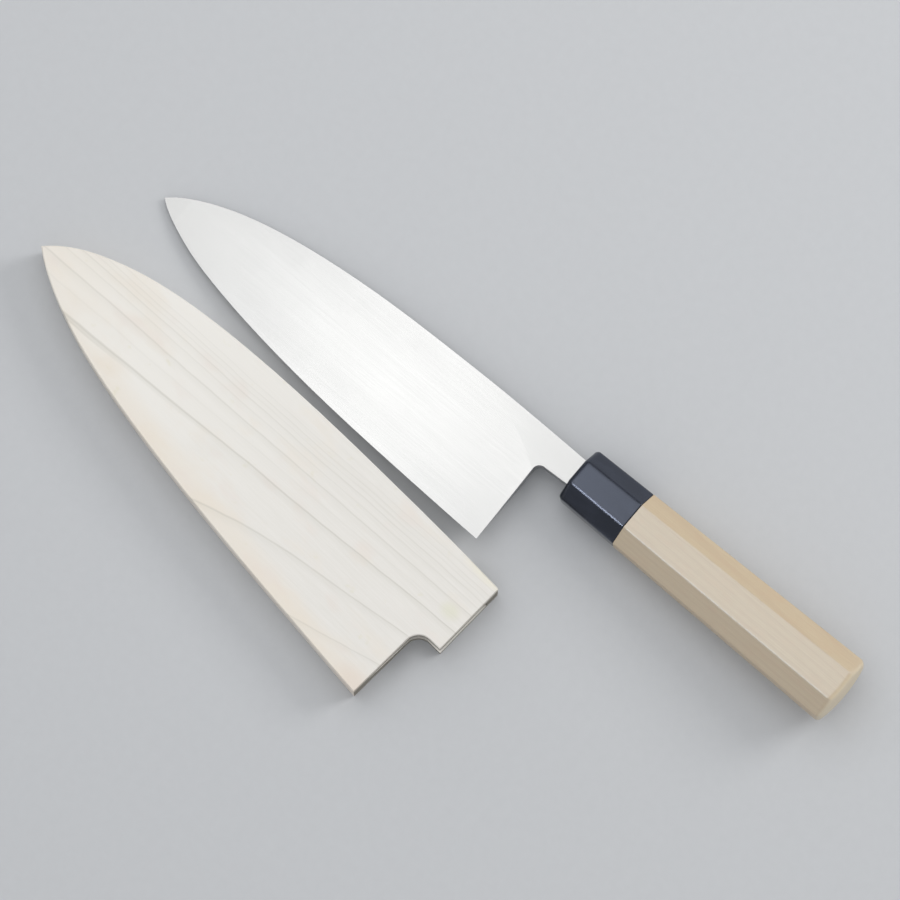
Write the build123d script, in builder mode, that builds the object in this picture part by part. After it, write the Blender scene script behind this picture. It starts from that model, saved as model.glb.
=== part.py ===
"""A deba knife with an octagonal handle, and its wooden sheath lying beside it.

The knife has a frame of its own: x runs from the tip to the butt, y from the cutting
edge to the spine and z up from the flat rims of the hollow back, with the tip at zero.
The sheath has one too: x from its tip to its mouth, y towards its spine side, z up.
Both are placed on the ground at the end of the sizes, and every sketch is drawn on a
plane of one of these frames.
"""

from build123d import *

import os
from math import asin, atan2, cos, hypot, radians, sin

os.makedirs("parts", exist_ok=True)

# Blade
blade_length = 178.6
blade_height = 50.15
spine_at_neck = 7.5
spine_at_point = 2.2
bevel_angle = 15
spine_ease = 0.5
hollow_depth = 0.4
heel_lean = 1.1

# Neck and tang
neck_length = 13.3
neck_height = 11.5
neck_taper = 0.7
neck_seat = 6
notch_radius = 3.2
tang_length = 90
tang_root_height = 9
tang_root_thickness = 4
tang_end_height = 5.5
tang_end_thickness = 2.6

# Hard steel, forge welded over the back of the soft iron
steel_at_point = 0.55
steel_at_neck = 2.5

# Ferrule and handle, one octagonal taper
grip_length = 133
ferrule_length = 28
front_height = 23.6
front_thickness = 21
front_facet = 6.6
butt_height = 28.1
butt_thickness = 24.8
butt_facet = 7.5
ferrule_front_round = 2
butt_dome_radius = 60
butt_edge_round = 2.2
grip_axis_drop = 5.75
tenon_diameter = 14
tenon_length = 15
slot_clearance = 0.15
tang_clearance = 0.2
tenon_clearance = 0.1
tenon_end_gap = 0.3

# Sheath
sheath_length = 218.5
sheath_heel_length = 206.2
sheath_heel_lean = 0.8
sheath_width = 68.4
board_thickness = 8
step_height = 32.3
step_radius = 6
mouth_corner_round = 1
board_edge_break = 0.4
blade_room = 1
back_room = 0.4
bevel_room = 0.4
ferrule_gap = 0.4
cavity_skew = 2.1
cavity_shift = 0.6

# How the two lie on the ground
sheath_ahead = 22.2
sheath_aside = 46.35
sheath_heading = 3.94

# One overrun for every cut
overrun = 5

# Stations along the blade, as shares of its length, with the spine and the edge there as
# shares of its height. The first two and the fourth only bend the outline near the point,
# and the evenly spaced rest also carry the hollow of the back.
station_shares = (0, 0.02, 0.05, 0.112, 0.2083, 0.3667, 0.525, 0.6833, 0.8417, 1)
spine_shares = (0, 0.061, 0.129, 0.231, 0.335, 0.432, 0.4825, 0.5035, 0.5125, 0.5075)
edge_shares = (0, -0.051, -0.105, -0.19, -0.275, -0.363, -0.419, -0.4535, -0.4765, -0.4935)
neck_spine_share = 0.5025
nose_share = 0.035

# Hollow of the back at the even stations and one step past the heel: its depth as shares of
# the deepest, and the flat rims beside it as shares of the height there
hollow_shares = (0.1, 0.6, 0.9, 1, 1, 0.9, 0.7, 0.5)
spine_rim_shares = (0.05, 0.045, 0.045, 0.045, 0.05, 0.09, 0.33, 0.6)
edge_rim_share = 0.045

# Outline of the sheath as shares of its width and of its length on each side: the spine side
# reaches the mouth and the edge side the heel
sheath_spine_shares = (
    (0.035, 0.102), (0.106, 0.221), (0.177, 0.295), (0.266, 0.351), (0.355, 0.383),
    (0.533, 0.412), (0.71, 0.415), (0.887, 0.408), (1, 0.396),
)
sheath_edge_shares = (
    (0.0371, -0.075), (0.1134, -0.181), (0.1886, -0.255), (0.284, -0.322), (0.3783, -0.373),
    (0.5659, -0.452), (0.7545, -0.513), (0.8477, -0.54), (0.942, -0.567),
)
sheath_heel_share = 0.582


def spine_thickness(x):
    """Thickness of the flat part of the blade, tapering evenly from the neck to the point."""
    reach = blade_length + neck_length
    return spine_at_point + (spine_at_neck - spine_at_point) * x / reach


stations = [x * blade_length for x in station_shares]
spines = [y * blade_height for y in spine_shares]
edges_of_blade = [y * blade_height for y in edge_shares]
ferrule_front = blade_length + neck_length
neck_end = ferrule_front + neck_seat
neck_spine = neck_spine_share * blade_height
neck_under = neck_spine - neck_height

# The handle is centred on the thickness of the neck
grip_y = neck_spine - grip_axis_drop
grip_z = -spine_at_neck / 2
butt = ferrule_front + grip_length
joint = ferrule_front + ferrule_length

# The knife rests on the rounded lower front edge of the ferrule and on the underside of its nose
nose_x = nose_share * blade_length
nose_depth = spine_thickness(nose_x)
heel_of_ferrule_x = ferrule_front + ferrule_front_round
underside_fall = (butt_thickness - front_thickness) / 2 * ferrule_front_round / grip_length
heel_of_ferrule_depth = front_thickness / 2 + underside_fall - grip_z - ferrule_front_round
span = heel_of_ferrule_x - nose_x
drop = heel_of_ferrule_depth - nose_depth
pitch = atan2(drop, span) + asin(ferrule_front_round / hypot(span, drop))
tip_rise = nose_depth * cos(pitch) - nose_x * sin(pitch)

# The whole set is centred on the origin: its ends are the sheath's tip and the domed butt,
# its sides the sheath's heel corner and the butt's spine side
heading = radians(sheath_heading)
heel_side = sheath_heel_share * sheath_width
dome_x = (butt - butt_dome_radius) * cos(pitch) - grip_z * sin(pitch) + butt_dome_radius
set_length = dome_x + sheath_ahead
corner_aside = sheath_aside + sheath_heel_length * sin(heading) + heel_side * cos(heading)
grip_side = grip_y + butt_height / 2
tip_x = sheath_ahead - set_length / 2
tip_y = (corner_aside - grip_side) / 2

knife = Plane(
    origin=(tip_x, tip_y, tip_rise),
    x_dir=(cos(pitch), 0, sin(pitch)),
    z_dir=(-sin(pitch), 0, cos(pitch)),
)
sheath = Plane(
    origin=(tip_x - sheath_ahead, tip_y - sheath_aside, 0),
    x_dir=(cos(heading), -sin(heading), 0),
    z_dir=(0, 0, 1),
)


def across(x):
    """Plane square to the knife at x: its own x runs to the spine and its own y up."""
    return Plane(
        origin=knife.from_local_coords((x, 0, 0)), x_dir=knife.y_dir, z_dir=knife.x_dir
    )


def sloping(frame, depth_at_zero, depth_at_end, end):
    """Plane under a frame's XY plane, from one depth at its origin to another at x = end."""
    slope = atan2(depth_at_end - depth_at_zero, end)
    return Plane(
        origin=frame.from_local_coords((0, 0, -depth_at_zero)),
        x_dir=frame.y_dir,
        z_dir=frame.x_dir * sin(slope) + frame.z_dir * cos(slope),
    )


def beyond_edge(frame, line):
    """Face on a frame's plane that covers everything beyond an edge line."""
    end = line[-1][0]
    with BuildSketch(frame) as beyond:
        with BuildLine():
            Spline(*line)
            Polyline(
                line[-1],
                (end, -2 * blade_height),
                (-overrun, -2 * blade_height),
                (-overrun, 0),
                line[0],
            )
        make_face()
    return beyond.sketch


def down_the_bevel(frame):
    """Direction in which a bevel falls away from its edge."""
    fall = radians(bevel_angle)
    return frame.y_dir * cos(fall) - frame.z_dir * sin(fall)


# Blade blank, ground in turn to its taper, its bevel and its hollow back
flat_side = sloping(knife, spine_at_point, spine_at_neck, ferrule_front)
spine_points = [*zip(stations, spines), (ferrule_front, neck_spine)]
edge_points = [*zip(stations, edges_of_blade), (neck_end + overrun, edges_of_blade[-1])]
bevel_reach = 2 * spine_at_neck / sin(radians(bevel_angle))
notch_point = (blade_length - heel_lean, neck_under - neck_taper)
with BuildPart() as blank:
    with BuildSketch(knife):
        with BuildLine():
            Spline(*spine_points)
            Polyline(
                spine_points[-1],
                (neck_end, neck_spine),
                (neck_end, -blade_height),
                (0, -blade_height),
                (0, 0),
            )
        make_face()
    extrude(amount=-spine_at_neck)
    split(bisect_by=flat_side, keep=Keep.TOP)
    # Bevel: everything outside the edge goes, along a slope that starts at the edge
    extrude(
        beyond_edge(knife, edge_points),
        amount=bevel_reach,
        dir=down_the_bevel(knife),
        both=True,
        mode=Mode.SUBTRACT,
    )
    # Hollow back: a shallow scoop that leaves a flat rim along the edge and the spine
    step_on = stations[-1] - stations[-2]
    scoops = zip(
        [stations[2], *stations[4:], stations[-1] + step_on],
        [spines[2], *spines[4:], spines[-1]],
        [edges_of_blade[2], *edges_of_blade[4:], edges_of_blade[-1]],
        hollow_shares,
        spine_rim_shares,
    )
    for x, spine, edge, depth, spine_rim in scoops:
        rim_start = edge + edge_rim_share * (spine - edge)
        rim_end = spine - spine_rim * (spine - edge)
        bottom = ((rim_start + rim_end) / 2, -depth * hollow_depth)
        with BuildSketch(across(x)):
            with BuildLine():
                ThreePointArc((rim_start, 0), bottom, (rim_end, 0))
                Polyline((rim_end, 0), (rim_end, overrun), (rim_start, overrun), (rim_start, 0))
            make_face()
    loft(mode=Mode.SUBTRACT)
    # Heel and neck: everything below the neck goes, with a round corner between the two
    with BuildSketch(knife):
        with BuildLine():
            Polyline(
                (blade_length, -blade_height),
                (blade_length, edges_of_blade[-1]),
                notch_point,
                (ferrule_front, neck_under),
                (neck_end + overrun, neck_under),
                (neck_end + overrun, -blade_height),
                close=True,
            )
        make_face()
        notch = vertices().sort_by_distance(notch_point)[0]
        fillet(notch, notch_radius)
    extrude(amount=spine_at_neck + overrun, both=True, mode=Mode.SUBTRACT)
    # Spine: its two long edges are eased
    spine_face = blank.faces().sort_by(Axis(knife.origin, knife.y_dir))[-1]
    chamfer(spine_face.edges().sort_by(SortBy.LENGTH)[-2:], spine_ease)

weld = sloping(knife, steel_at_point, steel_at_neck, ferrule_front)

with BuildPart() as cutting_steel:
    add(blank.part)
    split(bisect_by=weld, keep=Keep.TOP)

# Soft iron: flat side, spine, most of the bevel, and the tang that is drawn out from it
tang_root_z = -spine_at_neck + tang_root_thickness / 2 + tang_clearance
tang_y = neck_spine - neck_height / 2
tang_stations = (
    (neck_end, tang_y, tang_root_z, tang_root_height, tang_root_thickness),
    (neck_end + tang_length, grip_y, grip_z, tang_end_height, tang_end_thickness),
)
with BuildPart() as blade_body:
    add(blank.part)
    split(bisect_by=weld, keep=Keep.BOTTOM)
    for x, y, z, height, thickness in tang_stations:
        with BuildSketch(across(x)):
            with Locations((y, z)):
                Rectangle(height, thickness)
    loft()


# Ferrule and handle are one octagonal taper, planed from a round bar with a domed end. Each
# flat faces its own way round the axis, at one distance from it in front and one at the butt.
grip_origin = knife.from_local_coords((ferrule_front, grip_y, grip_z))
dome_middle = knife.from_local_coords((butt - butt_dome_radius, grip_y, grip_z))
corner_share = cos(radians(45))
front_corner = (front_height / 2 + front_thickness / 2 - front_facet) * corner_share
butt_corner = (butt_height / 2 + butt_thickness / 2 - butt_facet) * corner_share
side_flat = (front_height / 2, butt_height / 2)
corner_flat = (front_corner, butt_corner)
top_flat = (front_thickness / 2, butt_thickness / 2)
flats = 2 * (side_flat, corner_flat, top_flat, corner_flat)
with BuildPart() as grip:
    with Locations(dome_middle):
        Sphere(butt_dome_radius, rotation=(0, 0, 180))
    split(bisect_by=across(butt - butt_dome_radius), keep=Keep.TOP)
    with BuildSketch(across(ferrule_front)):
        with Locations((grip_y, grip_z)):
            Circle(butt_dome_radius)
    extrude(amount=grip_length - butt_dome_radius)
    for turn, (front, end) in zip(range(0, 360, 45), flats):
        away = knife.y_dir * cos(radians(turn)) + knife.z_dir * sin(radians(turn))
        slope = atan2(end - front, grip_length)
        outwards = away * cos(slope) - knife.x_dir * sin(slope)
        split(bisect_by=Plane(grip_origin + away * front, z_dir=outwards), keep=Keep.BOTTOM)

along_knife = Axis(knife.origin, knife.x_dir)

# Horn ferrule: slot for the neck in front, blind bore for the handle's tenon behind
with BuildPart() as ferrule:
    add(grip.part)
    split(bisect_by=across(joint), keep=Keep.BOTTOM)
    fillet(ferrule.faces().sort_by(along_knife)[0].edges(), ferrule_front_round)
    with BuildSketch(across(joint)):
        with Locations((grip_y, grip_z)):
            Circle(tenon_diameter / 2 + tenon_clearance)
    extrude(amount=-(tenon_length + tenon_end_gap), mode=Mode.SUBTRACT)
    with BuildSketch(across(ferrule_front - overrun)):
        with Locations((neck_spine - neck_height / 2, grip_z)):
            Rectangle(neck_height + 2 * slot_clearance, spine_at_neck + 2 * slot_clearance)
    extrude(amount=ferrule_length, mode=Mode.SUBTRACT)

# Wooden handle: domed butt, round tenon and a burnt-in hole for the tang
with BuildPart() as handle:
    add(grip.part)
    split(bisect_by=across(joint), keep=Keep.TOP)
    fillet(handle.faces().sort_by(along_knife)[-1].edges(), butt_edge_round)
    with BuildSketch(across(joint)):
        with Locations((grip_y, grip_z)):
            Circle(tenon_diameter / 2)
    extrude(amount=-tenon_length)
    for x, y, z, height, thickness in tang_stations:
        with BuildSketch(across(x)):
            with Locations((y, z)):
                Rectangle(height + 2 * tang_clearance, thickness + 2 * tang_clearance)
    loft(mode=Mode.SUBTRACT)

# Sheathed, the knife would stop with its ferrule just clear of the sheath
seat_x = sheath_length + ferrule_gap - ferrule_front
seat_turn = radians(cavity_skew)
seat = Plane(
    origin=sheath.from_local_coords((seat_x, cavity_shift, board_thickness + spine_at_neck / 2)),
    x_dir=sheath.x_dir * cos(seat_turn) - sheath.y_dir * sin(seat_turn),
    z_dir=(0, 0, 1),
)

# Room for the blade: its outline, taper and bevel, and straight on from there to the mouth
with BuildPart() as cavity:
    mouth = ferrule_front + overrun
    spine_line = [(x, y + blade_room) for x, y in spine_points[1:-2]]
    edge_line = [(x, y - blade_room) for x, y in edge_points[1:-1]]
    spine_top = spine_line[-1][1]
    edge_bottom = edge_line[-1][1]
    point = (-2 * blade_room, 0)
    with BuildSketch(seat.offset(back_room)):
        with BuildLine():
            Spline(point, *spine_line)
            Spline(point, *edge_line)
            Polyline(spine_line[-1], (mouth, spine_top), (mouth, edge_bottom), edge_line[-1])
        make_face()
    extrude(amount=-(spine_at_neck + overrun))
    floor = sloping(seat, spine_at_point + bevel_room, spine_at_neck + bevel_room, ferrule_front)
    split(bisect_by=floor, keep=Keep.TOP)
    extrude(
        beyond_edge(seat.offset(-bevel_room), [point, *edge_line, (mouth, edge_bottom)]),
        amount=bevel_reach,
        dir=down_the_bevel(seat),
        both=True,
        mode=Mode.SUBTRACT,
    )


# Sheath: two boards glued face to face, each carved with half of the room for the blade
sheath_spine_side = [(x * sheath_length, y * sheath_width) for x, y in sheath_spine_shares]
sheath_edge_side = [(x * sheath_heel_length, y * sheath_width) for x, y in sheath_edge_shares]
sheath_edge_side.append((sheath_heel_length, -heel_side))
step = (sheath_heel_length + sheath_heel_lean, sheath_spine_side[-1][1] - step_height)
seam = sheath.offset(board_thickness)
with BuildPart() as sheath_blank:
    with BuildSketch(sheath):
        with BuildLine():
            Spline((0, 0), *sheath_spine_side)
            Spline((0, 0), *sheath_edge_side)
            Polyline(
                sheath_spine_side[-1],
                (sheath_length, step[1]),
                step,
                sheath_edge_side[-1],
            )
        make_face()
        step_corner = vertices().sort_by_distance(step)[0]
        fillet(step_corner, step_radius)
        mouth_corner = vertices().sort_by_distance(sheath_spine_side[-1])[0]
        fillet(mouth_corner, mouth_corner_round)
    extrude(amount=2 * board_thickness)
    chamfer(sheath_blank.faces().filter_by(Axis.Z).edges(), board_edge_break)
    add(cavity.part, mode=Mode.SUBTRACT)

with BuildPart() as sheath_back_board:
    add(sheath_blank.part)
    split(bisect_by=seam, keep=Keep.BOTTOM)

with BuildPart() as sheath_front_board:
    add(sheath_blank.part)
    split(bisect_by=seam, keep=Keep.TOP)

pieces = {
    "blade_body": blade_body,
    "cutting_steel": cutting_steel,
    "ferrule": ferrule,
    "handle": handle,
    "sheath_back_board": sheath_back_board,
    "sheath_front_board": sheath_front_board,
}
for name, piece in pieces.items():
    piece.part.label = name
    export_step(piece.part, f"parts/{name}.step")
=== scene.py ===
"""Looks of a deba knife and the wooden sheath lying beside it.

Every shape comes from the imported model. This script gives it materials, rounds the ridges of
the ferrule, and adds a pale floor, studio light and the photograph's camera. The patterns are
worked out in millimetres along the knife or along the sheath, so that grain and brushing
follow them.
"""

from math import cos, pi, radians, sin

import bpy
from mathutils import Matrix, Vector

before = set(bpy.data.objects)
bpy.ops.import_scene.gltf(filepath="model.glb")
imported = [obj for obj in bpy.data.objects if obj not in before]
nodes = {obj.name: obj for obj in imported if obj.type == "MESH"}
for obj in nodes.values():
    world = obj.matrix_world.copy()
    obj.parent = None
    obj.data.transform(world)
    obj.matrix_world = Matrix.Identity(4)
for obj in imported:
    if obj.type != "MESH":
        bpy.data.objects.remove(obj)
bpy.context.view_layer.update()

MM = 0.001

# The two frames that the patterns follow: where the tips lie and how the pieces are turned
KNIFE_TIP = (-0.1512, 0.0334, 0.0020)
KNIFE_TURN = (0, radians(-3.63), 0)
SHEATH_TIP = (-0.1734, -0.0130, 0)
SHEATH_TURN = (0, 0, radians(-3.94))

# Where the horn meets the wood, in mm from the knife's tip
JOINT = 219.9

# Heights of the sheath's upper face and of the glued seam between its boards, in mm
SHEATH_TOP = 16.0
SEAM = 8.0

# Growth lines of the sheath: where each crosses it at MEASURED mm from the tip (mm towards the
# spine side), and how dark it is. The middle one has a mean slope of its own on to the tip
MEASURED = 200.0
MIDDLE_LINE = 2.2
MIDDLE_SLOPE = 0.083
GROWTH_LINES = (
    (-27.0, 0.6), (-10.9, 0.85), (MIDDLE_LINE, 1.0), (7.0, 0.2), (11.6, 0.65),
    (15.6, 0.35), (18.4, 0.5), (20.3, 0.25), (22.0, 0.35), (24.3, 0.25),
)
# The slope of each at that crossing, as a square polynomial of its place
SLOPE = (0.0916, -0.0043, 9.7e-5)

# Faint stains of the sheath: middle, reach each way (mm), strength and tone
STAINS = (
    ((211.0, 8.4, 16), (5.6, 4.2, 30), 0.55, (227, 226, 204)),
    ((211.0, 27.0, 16), (14, 2.4, 30), 0.35, (241, 235, 208)),
    ((203.0, -37.0, 16), (12, 7, 30), 0.6, (232, 219, 206)),
)

# Sockets of a Mix node: its two inputs and its output, for colours and for vectors
COLOUR_A, COLOUR_B, COLOUR_OUT = 6, 7, 2
VECTOR_A, VECTOR_B, VECTOR_OUT = 4, 5, 1


def feed(tree, socket, value):
    """Links a socket to another one, or sets its value."""
    if isinstance(value, bpy.types.NodeSocket):
        tree.links.new(value, socket)
    else:
        socket.default_value = value


def srgb(red, green, blue):
    """Linear colour of three values from 0 to 255."""
    def linear(value):
        share = value / 255
        return share / 12.92 if share <= 0.04045 else ((share + 0.055) / 1.055) ** 2.4

    return (linear(red), linear(green), linear(blue), 1.0)


class Graph:
    """A material's node tree, written as nested calls."""

    def __init__(self, name):
        self.material = bpy.data.materials.new(name)
        self.material.use_nodes = True
        self.tree = self.material.node_tree
        self.shader = self.tree.nodes["Principled BSDF"]

    def node(self, kind, values=(), **settings):
        """New node; values go to its inputs, each a number, a colour or another socket."""
        made = self.tree.nodes.new("ShaderNode" + kind)
        for key, value in settings.items():
            setattr(made, key, value)
        for key, value in dict(values).items():
            feed(self.tree, made.inputs[key], value)
        return made

    def set(self, **values):
        """Inputs of the surface shader; an underscore stands for a space in a name."""
        for key, value in values.items():
            feed(self.tree, self.shader.inputs[key.replace("_", " ")], value)

    def math(self, operation, *values, clamp=False):
        made = self.node("Math", enumerate(values), operation=operation, use_clamp=clamp)
        return made.outputs[0]

    def add(self, a, b, clamp=False):
        return self.math("ADD", a, b, clamp=clamp)

    def less(self, a, b):
        return self.math("SUBTRACT", a, b)

    def times(self, a, b, clamp=False):
        return self.math("MULTIPLY", a, b, clamp=clamp)

    def most(self, a, b):
        return self.math("MAXIMUM", a, b)

    def amount(self, a):
        return self.math("ABSOLUTE", a)

    def vector(self, operation, *values):
        return self.node("VectorMath", enumerate(values), operation=operation).outputs

    def parts(self, vector):
        """The x, y and z of a vector."""
        return self.node("SeparateXYZ", {0: vector}).outputs

    def along(self, origin, turn):
        """Position in mm along a piece: its own x, y and z."""
        place = self.node("TexCoord").outputs["Object"]
        values = {"Vector": place, "Location": origin, "Rotation": turn, "Scale": (MM,) * 3}
        return self.node("Mapping", values, vector_type="TEXTURE").outputs[0]

    def facing(self):
        """The x, y and z of the direction that the surface faces."""
        return self.parts(self.node("TexCoord").outputs["Normal"])

    def noise(self, place, size, detail, roughness, seed):
        """Smooth noise around a half, with features of a size along x, y and z."""
        place = self.vector("MULTIPLY", place, tuple(1 / length for length in size))[0]
        values = {"Vector": place, "W": seed, "Scale": 1.0}
        values.update({"Detail": detail, "Roughness": roughness})
        return self.node("TexNoise", values, noise_dimensions="4D").outputs["Fac"]

    def span(self, value, low, high, to_low=0.0, to_high=1.0):
        """Value carried from one range to another and held at its ends."""
        values = enumerate((value, low, high, to_low, to_high))
        return self.node("MapRange", values, interpolation_type="SMOOTHSTEP").outputs[0]

    def blend(self, share, a, b):
        """Colour a with colour b laid over it by a share."""
        values = {0: share, COLOUR_A: a, COLOUR_B: b}
        return self.node("Mix", values, data_type="RGBA").outputs[COLOUR_OUT]

    def coats(self, colour, *layers):
        """Colour with others laid over it in turn, each a share and a tone from 0 to 255."""
        for share, tone in layers:
            colour = self.blend(share, colour, srgb(*tone))
        return colour

    def bump(self, height, distance, normal=None):
        """Relief by a pattern, over the plain normal or a given one."""
        values = {"Strength": 1.0, "Distance": distance, "Height": height}
        if normal:
            values["Normal"] = normal
        self.set(Normal=self.node("Bump", values).outputs[0])

    def rounded(self, radius, x):
        """Normal that runs softly over the ridges of the octagon, but not over the joint."""
        soft = self.node("Bevel", {"Radius": radius}, samples=6).outputs[0]
        plain = self.node("NewGeometry").outputs["Normal"]
        clear = self.span(self.amount(self.less(x, JOINT)), 0.9, 1.8)
        values = {0: clear, VECTOR_A: plain, VECTOR_B: soft}
        return self.node("Mix", values, data_type="VECTOR").outputs[VECTOR_OUT]


def fibres(g, place, length, width, seed):
    """Fine fibre streaks along x, around a half."""
    coarse = g.noise(place, (length, width, width), 3.0, 0.6, seed)
    fine = g.noise(place, (length / 3, width / 4, width / 4), 2.0, 0.5, seed + 3)
    return g.add(g.times(coarse, 0.55), g.times(fine, 0.45))


def over_middle(g, x, y):
    """Place across the sheath, counted so that it stays the same along the middle line."""
    return g.add(y, g.times(g.less(MEASURED, x), MIDDLE_SLOPE))


def growth_place(g, x, y):
    """Where the growth line through a point crosses the sheath at MEASURED from its tip."""
    flat, slope, bend = SLOPE
    back = g.less(MEASURED, x)
    # Towards the tip, the lines below the middle one bend down
    below = g.span(over_middle(g, x, y), MIDDLE_LINE, MIDDLE_LINE - 12)
    far = g.math("POWER", g.most(g.less(back, 40.0), 0.0), 2.0)
    y = g.add(y, g.times(g.times(far, 0.0021), below))
    # The place c solves y = c - back * (flat + slope * c + bend * c^2)
    near = g.add(y, g.times(back, flat))
    spread = g.less(1.0, g.times(back, slope))
    inner = g.add(g.times(spread, spread), g.times(g.times(back, -4 * bend), near))
    root = g.math("SQRT", g.most(inner, 0.05))
    return g.math("DIVIDE", g.times(near, 2.0), g.add(spread, root))


def growth_lines(g, x, y):
    """How dark the growth lines are at a place on the sheath."""
    line = growth_place(g, x, y)
    dark = 0.0
    for centre, tone in GROWTH_LINES:
        # Sharp towards the spine side, fading over a few mm on the other side
        off = g.less(line, centre)
        core = g.span(g.amount(off), 0.08, 0.42, 0.7 * tone, 0)
        fade = g.times(g.span(off, -3.0, 0, 0, 0.3 * tone), g.math("LESS_THAN", off, 0))
        dark = g.add(g.add(core, fade), dark)
    # The lines below the middle one end well before the tip
    kept = g.most(g.span(x, 90, 104), g.span(over_middle(g, x, y), 0.2, 1.2))
    return g.times(dark, kept)


def sheath_ends(g, x, y):
    """1 on the end grain of the sheath and on the walls of its step, 0 on its other faces."""
    across, _, rise = g.facing()
    upright = g.span(g.amount(rise), 0.8, 0.4)
    step = g.times(g.times(g.span(x, 202, 204), upright), g.span(y, -36, -33))
    return g.most(step, g.span(g.amount(across), 0.5, 0.9))


def sheath_wood(name, shift, seed):
    """Very pale wood with a few thin growth lines that fan out towards the tip."""
    g = Graph(name)
    place = g.along(SHEATH_TIP, SHEATH_TURN)
    x, y, z = g.parts(place)
    sway = g.noise(place, (55, 30, 30), 1.0, 0.5, seed)
    quiver = g.noise(place, (11, 8, 8), 2.0, 0.5, seed + 1)
    lean = g.times(g.less(z, SHEATH_TOP), -0.6)
    wander = g.add(g.times(sway, 2.4), g.times(quiver, 0.7))
    dark = growth_lines(g, x, g.add(g.add(y, lean), g.add(wander, shift - 1.55)))

    streaks = fibres(g, place, 26, 0.9, seed)
    cloud = g.noise(place, (30, 14, 14), 3.0, 0.6, seed + 5)
    rosy = g.span(g.noise(place, (18, 9, 9), 2.0, 0.5, seed + 9), 0.55, 0.75)
    fleck = g.span(g.noise(place, (7, 5, 5), 2.0, 0.6, seed + 12), 0.64, 0.78)
    # The wood is warmer in tone along the edge side and at the tip
    rim = g.add(g.add(y, 14.0), g.times(x, 0.13))
    warm = g.most(g.span(rim, 12, 1), g.span(x, 60, 8, 0, 0.7))
    warm = g.add(g.times(warm, 0.8), g.span(cloud, 0.45, 0.75, -0.1, 0.5), clamp=True)
    colour = g.coats(
        g.blend(g.span(streaks, 0.3, 0.7), srgb(232, 229, 223), srgb(238, 235, 230)),
        # Painted light: the wood is made lighter towards the tip, standing in for more light
        # falling there
        (g.span(x, 175, 45, 0, 0.8), (242, 239, 233)),
        (warm, (237, 229, 217)),
        (g.times(rosy, 0.4), (235, 225, 217)),
        (g.times(fleck, 0.3), (222, 217, 186)),
    )
    for centre, reach, share, tone in STAINS:
        away = g.vector("DIVIDE", g.vector("SUBTRACT", place, centre)[0], reach)[0]
        away = g.add(g.vector("LENGTH", away)["Value"], g.times(cloud, 0.8))
        colour = g.coats(colour, (g.span(away, 1.5, 0.6, 0, share), tone))
    colour = g.coats(colour, (g.times(dark, 0.42, clamp=True), (180, 177, 165)))

    # The end grain and the walls of the step are darker, partly from real end grain and dust,
    # partly as painted shade; the glued seam between the boards is darker too
    ends = sheath_ends(g, x, y)
    dust_and_shade = g.blend(streaks, srgb(108, 103, 92), srgb(142, 135, 122))
    colour = g.blend(g.times(ends, 0.92), colour, dust_and_shade)
    # Partly painted shadow: the glued seam is drawn on the end faces as a dark band up to 1 mm
    # each side of it, wider than the glue line, standing in for shade along it
    glue_seam_and_shadow = g.span(g.amount(g.less(z, SEAM)), 0.3, 1.0, 0.8, 0)
    colour = g.coats(colour, (g.times(glue_seam_and_shadow, ends), (58, 51, 44)))
    g.set(Base_Color=colour, Roughness=g.span(streaks, 0.3, 0.7, 0.62, 0.54))
    g.set(Specular_IOR_Level=0.3)
    g.bump(g.less(streaks, g.times(dark, 0.3)), 0.03 * MM)
    return g.material


def handle_wood():
    """Pale tan wood, planed smooth, with fine straight grain and a cool sheen."""
    g = Graph("handle_wood")
    place = g.along(KNIFE_TIP, KNIFE_TURN)
    x, y, z = g.parts(place)
    sway = g.noise(place, (60, 16, 16), 2.0, 0.5, 2.0)
    ring = g.add(g.add(g.times(y, 0.34), g.times(z, 0.2)), g.times(x, 0.006))
    season = g.math("FRACT", g.add(ring, g.times(sway, 1.2)))
    late = g.times(g.span(season, 0.4, 0.9), g.span(season, 0.9, 1.0, 1, 0))
    streaks = fibres(g, place, 22, 0.45, 4.0)
    mottle = g.noise(place, (9, 3.5, 3.5), 3.0, 0.6, 14.0)
    pores = g.noise(place, (2.4, 0.16, 0.16), 1.0, 0.5, 8.0)
    # Painted light: the faces towards the butt end are made lighter, standing in for light
    # falling on them
    painted_butt_light = g.span(g.facing()[0], 0.15, 0.8, 0, 0.8)
    colour = g.coats(
        g.blend(g.span(streaks, 0.3, 0.7), srgb(206, 179, 138), srgb(215, 191, 151)),
        (g.span(mottle, 0.45, 0.75, 0, 0.5), (211, 178, 137)),
        (g.times(late, 0.22), (194, 163, 124)),
        (g.span(pores, 0.68, 0.8, 0, 0.3), (163, 137, 98)),
        (painted_butt_light, (232, 212, 176)),
    )
    g.set(Base_Color=colour, Roughness=g.span(streaks, 0.3, 0.7, 0.46, 0.4))
    g.set(IOR=1.9, Specular_IOR_Level=1.0, Specular_Tint=(0.6, 0.8, 1.0, 1.0))
    grain = g.less(streaks, g.span(pores, 0.66, 0.8, 0, 0.6))
    g.bump(grain, 0.03 * MM, normal=g.rounded(0.9 * MM, x))
    return g.material


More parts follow.
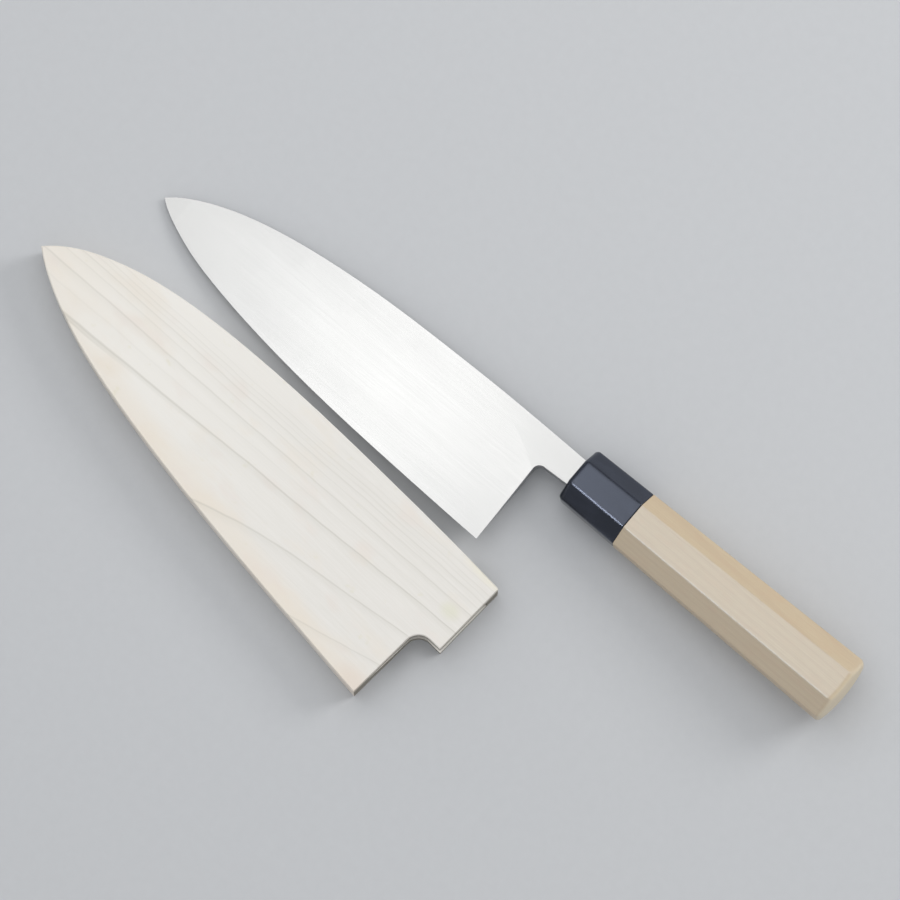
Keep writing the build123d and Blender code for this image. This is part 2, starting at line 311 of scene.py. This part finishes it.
def horn():
    """Polished black horn with a cool sheen and faint grey streaks along its length."""
    g = Graph("horn")
    place = g.along(KNIFE_TIP, KNIFE_TURN)
    drift = g.noise(place, (14, 3.5, 3.5), 3.0, 0.6, 1.0)
    veins = g.noise(place, (22, 1.1, 1.1), 2.0, 0.6, 6.0)
    colour = g.blend(g.span(drift, 0.4, 0.7), (0.004, 0.005, 0.009, 1), (0.010, 0.012, 0.020, 1))
    colour = g.blend(g.span(veins, 0.6, 0.75, 0, 0.3), colour, (0.036, 0.034, 0.034, 1))
    g.set(Base_Color=colour, Roughness=g.span(drift, 0.3, 0.7, 0.12, 0.2))
    g.set(IOR=1.85, Specular_Tint=(0.72, 0.80, 1.0, 1.0))
    g.bump(drift, 0.02 * MM, normal=g.rounded(1.6 * MM, g.parts(place)[0]))
    return g.material


def steel(name, light, dark, rough, seed):
    """Satin steel, ground along the blade, with a faint cloudiness."""
    g = Graph(name)
    place = g.along(KNIFE_TIP, KNIFE_TURN)
    lines = g.noise(place, (30, 0.12, 0.12), 2.0, 0.6, seed)
    broad = g.noise(place, (60, 0.8, 0.8), 2.0, 0.5, seed + 2)
    cloud = g.noise(place, (30, 14, 14), 2.0, 0.5, seed + 5)
    brushed = g.add(g.times(lines, 0.6), g.times(broad, 0.4))
    tone = g.add(g.times(brushed, 0.5), g.times(cloud, 0.5))
    g.set(Base_Color=g.blend(g.span(tone, 0.3, 0.7), dark, light), Metallic=1.0)
    g.set(Roughness=g.span(brushed, 0.3, 0.7, rough + 0.012, rough - 0.008))
    g.bump(brushed, 0.0015 * MM)
    return g.material


def floor_finish():
    """Plain pale grey paper."""
    g = Graph("floor_paper")
    place = g.node("TexCoord").outputs["Object"]
    tooth = g.noise(place, (4 * MM,) * 3, 3.0, 0.6, 0.0)
    g.set(Base_Color=g.blend(tooth, srgb(198, 200, 203), srgb(203, 205, 208)))
    g.set(Roughness=0.9, Specular_IOR_Level=0.1)
    return g.material


def dress(node, material):
    for place in nodes[node].material_slots:
        place.link = "OBJECT"
        place.material = material


def soften(node, width):
    """Rounds the ridges of a node; its faces are first joined at their common edges."""
    joined = nodes[node].modifiers.new("joined_faces", "WELD")
    joined.merge_threshold = 0.002 * MM
    edges = nodes[node].modifiers.new("soft_edges", "BEVEL")
    edges.width = width
    edges.segments = 5
    edges.limit_method = "ANGLE"
    edges.angle_limit = radians(28)
    edges.harden_normals = True
    # Where it is clamped, tiny faces are left at the ends of the ridges
    edges.use_clamp_overlap = False


def floor(size, height):
    mesh = bpy.data.meshes.new("floor")
    half = size / 2
    corners = [(-half, -half, 0), (half, -half, 0), (half, half, 0), (-half, half, 0)]
    mesh.from_pydata(corners, [], [(0, 1, 2, 3)])
    made = bpy.data.objects.new("floor", mesh)
    bpy.context.scene.collection.objects.link(made)
    made.location.z = height
    made.data.materials.append(floor_finish())


def area_light(name, towards, distance, size, radiance, colour, gloss_only=False):
    """Square softbox at a distance from the blade, in a direction and facing it.

    One that is gloss_only shows in glossy surfaces and gives no diffuse light.
    """
    middle = Vector((-0.027, 0.038, 0.01))
    lamp = bpy.data.lights.new(name, "AREA")
    lamp.shape = "SQUARE"
    lamp.size = size
    lamp.energy = radiance * pi * size**2
    lamp.color = colour
    made = bpy.data.objects.new(name, lamp)
    bpy.context.scene.collection.objects.link(made)
    direction = Vector(towards).normalized()
    made.location = middle + direction * distance
    made.rotation_mode = "QUATERNION"
    made.rotation_quaternion = direction.to_track_quat("Z", "Y")
    made.visible_camera = False
    made.visible_diffuse = not gloss_only


def surroundings(light, shown, mirrored, colour):
    """Even light all round; the camera and mirror rays see the backdrop's own levels."""
    world = bpy.data.worlds.new("studio")
    bpy.context.scene.world = world
    world.use_nodes = True
    tree = world.node_tree
    path = tree.nodes.new("ShaderNodeLightPath")
    level = light
    for ray, seen in (
        ("Is Camera Ray", shown), ("Is Glossy Ray", mirrored), ("Is Transmission Ray", shown)
    ):
        step = tree.nodes.new("ShaderNodeMath")
        step.operation = "MULTIPLY_ADD"
        for socket, value in zip(step.inputs, (path.outputs[ray], seen - light, level)):
            feed(tree, socket, value)
        level = step.outputs[0]
    backdrop = tree.nodes["Background"]
    feed(tree, backdrop.inputs["Color"], colour)
    feed(tree, backdrop.inputs["Strength"], level)


def camera(azimuth, elevation, distance, target, lens):
    data = bpy.data.cameras.new("camera")
    data.lens = lens
    data.sensor_width = 36
    data.clip_end = 20
    made = bpy.data.objects.new("camera", data)
    bpy.context.scene.collection.objects.link(made)
    turn, rise = radians(azimuth), radians(elevation)
    back = Vector((sin(turn) * cos(rise), -cos(turn) * cos(rise), sin(rise)))
    right = Vector((cos(turn), sin(turn), 0))
    made.matrix_world = Matrix.Translation(Vector(target) + back * distance) @ Matrix(
        (right, back.cross(right), back)
    ).transposed().to_4x4()
    bpy.context.scene.camera = made


dress("cutting_steel", steel("hard_steel", srgb(192, 192, 191), srgb(188, 188, 187), 0.19, 1.0))
dress("blade_body", steel("soft_iron", srgb(178, 179, 180), srgb(160, 161, 163), 0.36, 11.0))
dress("ferrule", horn())
dress("handle", handle_wood())
dress("sheath_front_board", sheath_wood("sheath_wood_front", shift=0.0, seed=1.0))
dress("sheath_back_board", sheath_wood("sheath_wood_back", shift=6.5, seed=21.0))
soften("ferrule", 0.55 * MM)

# The floor lies a little under the pieces, so that their faces don't coincide
floor(size=6, height=-0.05 * MM)
# The softbox and the hot spot in it are what the blade mirrors; the key light makes the shadow
# and the edge glint draws the bright line along the ferrule's lower ridge
area_light("softbox", (-0.218, 0.106, 0.970), 1.15, 1.2, 1.03, (1.0, 1.0, 1.0))
area_light("hot_spot", (-0.2295, 0.0996, 0.968), 1.14, 0.13, 1.27, (1.0, 1.0, 1.0))
area_light("key", (0.45, 0.75, 0.6), 1.5, 0.6, 6.0, (1.0, 0.99, 0.97))
area_light("edge_glint", (-0.1, -0.6, 0.78), 1.3, 0.4, 14.0, (0.95, 0.97, 1.0), gloss_only=True)
surroundings(light=0.54, shown=0.6, mirrored=0.34, colour=(0.98, 0.99, 1.0, 1.0))
camera(
    azimuth=40.1995, elevation=82.3, distance=3.082, target=(-0.003877, 0.029582, 0), lens=320.57
)
bpy.context.scene.view_settings.view_transform = "Standard"
